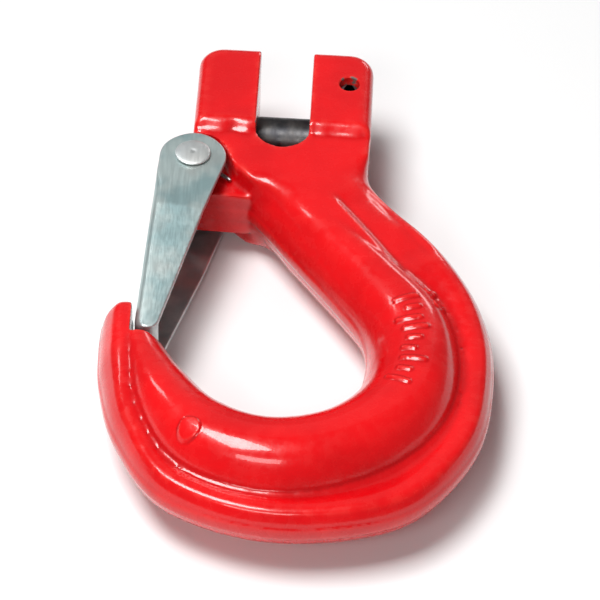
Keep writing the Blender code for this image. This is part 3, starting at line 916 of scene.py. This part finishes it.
def rivet(mat):
    """Rivet with a low domed head on each side, each with a small setting dimple."""
    under = LATCH_HALF_WIDTH + FIT_GAP
    top = under + RIVET_HEAD_HEIGHT
    upper = [(RIVET_RADIUS, under), (RIVET_HEAD_RADIUS - RIVET_EDGE[0], under),
             (RIVET_HEAD_RADIUS, under + RIVET_EDGE[1])]
    for i in range(RIVET_DOME_STEPS + 1):
        angle = math.radians(4 + 82 * i / RIVET_DOME_STEPS)
        share = RIVET_HEAD_RIM + (1 - RIVET_HEAD_RIM) * math.sin(angle)
        upper.append((RIVET_HEAD_RADIUS * math.cos(angle), under + RIVET_HEAD_HEIGHT * share))
    upper = [p for p in upper if p[0] > DIMPLE_RADIUS]
    upper += [(r, top - depth) for r, depth in RIVET_DIMPLE]
    profile = [(r, -z) for r, z in reversed(upper)] + upper
    piece = turned("latch_rivet", profile, BORE_SIDES, PIVOT, (0, 0, 1))
    return finish_piece(piece, "latch_rivet_headed", mat, 40, 1)


def spring_path():
    """Middle line of the double torsion spring, from one body leg to the other."""
    along, across = latch_axes()
    inner_z = LUG_HALF_THICKNESS + FIT_GAP + WIRE_RADIUS
    outer_z = LATCH_HALF_WIDTH - SHEET - FIT_GAP - WIRE_RADIUS - PLATE_CROWN / 2
    taper = (LATCH_TOP_RADIUS - LATCH_END_RADIUS) / LATCH_LENGTH
    web = LATCH_TOP_RADIUS - SHEET - FIT_GAP - WIRE_RADIUS - SPRING_REACH * taper
    loop = PIVOT + along * SPRING_REACH - across * web
    to_loop = loop - PIVOT
    leave = math.atan2(to_loop.y, to_loop.x) - math.acos(COIL_RADIUS / to_loop.length)
    heading = math.radians(SPRING_LEG_HEADING)
    first = heading + math.pi / 2
    turn = (leave - first) % (2 * math.pi) + 2 * math.pi * COIL_TURNS
    steps = COIL_STEPS * (COIL_TURNS + 1)
    coil = []
    for i in range(steps + 1):
        angle = first + turn * i / steps
        rise = Vector((0.0, 0.0, inner_z + (outer_z - inner_z) * i / steps))
        coil.append(PIVOT + Vector((math.cos(angle), math.sin(angle), 0.0)) * COIL_RADIUS + rise)
    leg = Vector((math.cos(heading), math.sin(heading), 0.0)) * SPRING_LEG
    half = [coil[0] + leg * (1 - i / LEG_STEPS) for i in range(LEG_STEPS)] + coil
    down = (loop.xy - coil[-1].xy).normalized().to_3d()
    straight = (loop.xy - coil[-1].xy).length - LOOP_BEND
    half += [coil[-1] + down * straight * i / STRAIGHT_STEPS
             for i in range(1, STRAIGHT_STEPS)]
    for i in range(LOOP_STEPS + 1):
        angle = math.pi / 2 * i / LOOP_STEPS
        half.append(loop + down * LOOP_BEND * (math.sin(angle) - 1)
                    + Vector((0, 0, outer_z - LOOP_BEND * (1 - math.cos(angle)))))
    bar = half[-1].z
    half += [Vector((loop.x, loop.y, bar * (1 - i / BAR_STEPS)))
             for i in range(1, BAR_STEPS)]
    middle = Vector((loop.x, loop.y, 0.0))
    return half + [middle] + [Vector((p.x, p.y, -p.z)) for p in reversed(half)]


def tube_rings(points, radius, sides):
    """Rings round a path, turned as little as possible from one to the next."""
    rings = []
    normal = None
    for i, point in enumerate(points):
        ahead = (points[min(i + 1, len(points) - 1)] - points[max(i - 1, 0)]).normalized()
        if normal is None:
            normal = ahead.orthogonal().normalized()
        normal = (normal - ahead * normal.dot(ahead)).normalized()
        other = ahead.cross(normal)
        ease = WIRE_END * (i in (0, len(points) - 1))
        ring = []
        for k in range(sides):
            angle = 2 * math.pi * k / sides
            spoke = normal * math.cos(angle) + other * math.sin(angle)
            ring.append(point + spoke * (radius - ease))
        rings.append(ring)
    return rings


def latch_spring(mat):
    piece = loft("latch_spring", tube_rings(spring_path(), WIRE_RADIUS, WIRE_SIDES))
    return finish_piece(piece, "latch_spring_wire", mat, 50, 1)


# ---------------------------------------------------------------- materials

class Nodes:
    """A material's node tree, built up call by call."""

    def __init__(self, name):
        self.mat = bpy.data.materials.new(name)
        self.mat.use_nodes = True
        self.tree = self.mat.node_tree
        self.bsdf = self.tree.nodes["Principled BSDF"]
        self.place = self.add("ShaderNodeTexCoord").outputs["Object"]

    def add(self, kind, **inputs):
        node = self.tree.nodes.new(kind)
        for key, value in inputs.items():
            self.feed(node.inputs[key.replace("_", " ")], value)
        return node

    def feed(self, socket, value):
        if isinstance(value, bpy.types.NodeSocket):
            self.tree.links.new(value, socket)
        elif isinstance(value, tuple) and len(value) == 3 and socket.type == "RGBA":
            socket.default_value = (*value, 1.0)
        else:
            socket.default_value = value

    def noise(self, scale, detail=2.0, stretch=None, turn=0.0):
        where = self.place
        if stretch:
            mapping = self.add("ShaderNodeMapping", Vector=where)
            mapping.inputs["Rotation"].default_value = (0.0, 0.0, turn)
            mapping.inputs["Scale"].default_value = stretch
            where = mapping.outputs["Vector"]
        node = self.add("ShaderNodeTexNoise", Vector=where, Scale=scale, Detail=detail)
        return node.outputs["Fac"]

    def remap(self, value, low, high, to_low=0.0, to_high=1.0):
        node = self.add("ShaderNodeMapRange", Value=value)
        node.interpolation_type = "SMOOTHSTEP"
        for key, number in (("From Min", low), ("From Max", high), ("To Min", to_low),
                            ("To Max", to_high)):
            node.inputs[key].default_value = number
        return node.outputs["Result"]

    def math(self, operation, a, b):
        node = self.add("ShaderNodeMath")
        node.operation = operation
        self.feed(node.inputs[0], a)
        self.feed(node.inputs[1], b)
        return node.outputs[0]

    def mix(self, factor, a, b):
        node = self.add("ShaderNodeMix")
        node.data_type = "RGBA"
        self.feed(node.inputs[0], factor)
        self.feed(node.inputs[6], a)
        self.feed(node.inputs[7], b)
        return node.outputs[2]

    def attribute(self, name):
        node = self.add("ShaderNodeAttribute")
        node.attribute_name = name
        return node.outputs["Fac"]

    def bump(self, height, strength, distance, before=None):
        node = self.add("ShaderNodeBump", Height=height, Strength=strength, Distance=distance)
        if before:
            self.feed(node.inputs["Normal"], before)
        return node.outputs["Normal"]

    def surface(self, **inputs):
        for key, value in inputs.items():
            self.feed(self.bsdf.inputs[key.replace("_", " ")], value)
        return self.mat


def paint():
    """Gloss red paint over a forging: cloudy colour, orange peel, rubbed edges, painted shade in
    hollows, and a paler red on edges that is thin paint and a painted highlight.
    """
    n = Nodes("red_paint_forged")
    cloud = n.remap(n.noise(60.0, 3.0), 0.35, 0.65)
    fleck = n.noise(420.0, 4.0)
    peel = n.noise(1100.0, 2.0)
    edge = n.attribute("edge")
    hollow = n.attribute("hollow")
    colour = n.mix(cloud, RED_DEEP, RED_BRIGHT)
    # Painted shade: the paint is darkened in hollows, where shade falls
    colour = n.mix(n.math("MULTIPLY", hollow, 0.9), colour, RED_PAINTED_SHADE)
    # Paler red on convex edges: partly thin paint, partly a painted highlight
    thin = n.math("MULTIPLY", edge, n.remap(fleck, 0.35, 0.7, 0.1, 0.5))
    colour = n.mix(thin, colour, RED_THIN_PAINT_AND_HIGHLIGHT)
    rubbed = n.remap(n.math("MULTIPLY", edge, fleck), 0.50, 0.58)
    colour = n.mix(rubbed, colour, RUBBED_STEEL)
    rough = n.remap(fleck, 0.3, 0.7, 0.20, 0.32)
    rough = n.math("ADD", rough, n.math("MULTIPLY", rubbed, 0.25))
    normal = n.bump(peel, 0.10, 0.0003)
    normal = n.bump(fleck, 0.06, 0.0005, normal)
    return n.surface(Base_Color=colour, Roughness=rough, Normal=normal, Coat_Weight=0.5,
                     Coat_Roughness=0.06, Specular_IOR_Level=0.3)


def zinc(name, cool, pale, warm, rough_low, rough_high):
    """Zinc plate: bluish, with soft patches, pressing streaks, brighter edges and painted shade in
    its hollows.
    """
    n = Nodes(name)
    patch = n.remap(n.noise(140.0, 4.0), 0.35, 0.65)
    tint = n.remap(n.noise(85.0, 3.0), 0.5, 0.75)
    turn = math.radians(90 - LATCH_CLOSED)
    streak = n.noise(1.0, 4.0, (2600.0, 170.0, 2600.0), turn)
    edge = n.attribute("edge")
    hollow = n.attribute("hollow")
    colour = n.mix(patch, cool, pale)
    colour = n.mix(n.math("MULTIPLY", tint, 0.5), colour, warm)
    # Painted shade: the plating is darkened in hollows, where shade falls
    colour = n.mix(n.math("MULTIPLY", hollow, 0.5), colour, ZINC_PAINTED_SHADE)
    colour = n.mix(n.math("MULTIPLY", edge, 0.5), colour, ZINC_EDGE)
    rough = n.remap(streak, 0.3, 0.7, rough_low, rough_high)
    normal = n.bump(streak, 0.05, 0.0002)
    normal = n.bump(n.noise(700.0, 3.0), 0.06, 0.0004, normal)
    return n.surface(Base_Color=colour, Metallic=0.75, Roughness=rough, Normal=normal)


def bare_steel(name, dark, light, rough_low, rough_high, lathe):
    """Bare or oiled steel with fine marks across its axis, and worn edges."""
    n = Nodes(name)
    patch = n.remap(n.noise(260.0, 4.0), 0.3, 0.7)
    lines = n.noise(1.0, 3.0, lathe)
    edge = n.attribute("edge")
    colour = n.mix(patch, dark, light)
    colour = n.mix(n.math("MULTIPLY", edge, 0.6), colour, STEEL_EDGE)
    rough = n.remap(lines, 0.3, 0.7, rough_low, rough_high)
    normal = n.bump(lines, 0.15, 0.0001)
    return n.surface(Base_Color=colour, Metallic=1.0, Roughness=rough, Normal=normal)


def floor_material():
    n = Nodes("pale_floor")
    colour = n.mix(n.noise(3.0, 3.0), FLOOR_DARK, FLOOR_LIGHT)
    return n.surface(Base_Color=colour, Roughness=0.75)


# ---------------------------------------------------------------- floor, light and camera

def floor():
    bpy.ops.mesh.primitive_plane_add(size=FLOOR_SIZE,
                                     location=(0, 0, CAD_BOX[0][2] - FLOOR_GAP))
    obj = bpy.context.object
    obj.name = "floor"
    obj.data.materials.append(floor_material())


def area_light(name, location, target, size, power):
    data = bpy.data.lights.new(name, "AREA")
    data.shape = "RECTANGLE"
    data.size, data.size_y = size
    data.energy = power
    obj = bpy.data.objects.new(name, data)
    obj.location = location
    obj.rotation_euler = (Vector(target) - Vector(location)).to_track_quat("-Z", "Y").to_euler()
    bpy.context.scene.collection.objects.link(obj)


def camera():
    data = bpy.data.cameras.new("camera")
    data.lens = CAMERA_LENS
    data.sensor_width = CAMERA_SENSOR
    data.clip_start = CAMERA_CLIP
    obj = bpy.data.objects.new("camera", data)
    place = Vector(CAMERA_PLACE)
    forward = (Vector(CAMERA_TARGET) - place).normalized()
    right = forward.cross(Vector((0, 0, 1))).normalized()
    up = right.cross(forward)
    roll = math.radians(CAMERA_ROLL)
    turned_right = right * math.cos(roll) + up * math.sin(roll)
    turned_up = up * math.cos(roll) - right * math.sin(roll)
    axes = Matrix((turned_right, turned_up, -forward)).transposed().to_4x4()
    obj.matrix_world = Matrix.Translation(place) @ axes
    bpy.context.scene.collection.objects.link(obj)
    bpy.context.scene.camera = obj


def studio():
    world = bpy.data.worlds.new("studio")
    world.use_nodes = True
    world.node_tree.nodes["Background"].inputs["Color"].default_value = (1, 1, 1, 1)
    world.node_tree.nodes["Background"].inputs["Strength"].default_value = WORLD_STRENGTH
    bpy.context.scene.world = world
    bpy.context.scene.view_settings.view_transform = "Standard"
    for name, place, size, power in LIGHTS:
        area_light(name, place, LIGHT_TARGET, size, power)


def show(piece, body, node):
    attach(piece, body)
    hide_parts(node)


floor()
studio()
camera()

latch_zinc = zinc("zinc_plate_latch", (0.34, 0.48, 0.49), (0.52, 0.62, 0.61), (0.57, 0.56, 0.53),
                  0.36, 0.48)
rivet_zinc = zinc("zinc_plate_rivet", (0.55, 0.60, 0.62), (0.74, 0.78, 0.78), (0.70, 0.68, 0.64),
                  0.36, 0.48)
pin_steel = bare_steel("black_pin_steel", (0.045, 0.045, 0.05), (0.11, 0.105, 0.10), 0.34, 0.5,
                       (1500.0, 90.0, 90.0))
keeper_steel = bare_steel("spring_pin_steel", (0.12, 0.12, 0.13), (0.24, 0.24, 0.25), 0.32, 0.48,
                          (500.0, 500.0, 60.0))
wire_steel = bare_steel("spring_wire_steel", (0.24, 0.24, 0.25), (0.42, 0.42, 0.43), 0.26, 0.4,
                        (900.0, 900.0, 900.0))

show(hook_body(paint()), "hook", "hook_body")
show(load_pin(pin_steel), "load_pin", "load_pin")
show(spring_pin(keeper_steel), "hook", "load_pin_spring_pin")
show(latch(latch_zinc), "latch", "latch")
show(rivet(rivet_zinc), "hook", "latch_rivet")

spring = latch_spring(wire_steel)
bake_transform(spring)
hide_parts("latch_spring")
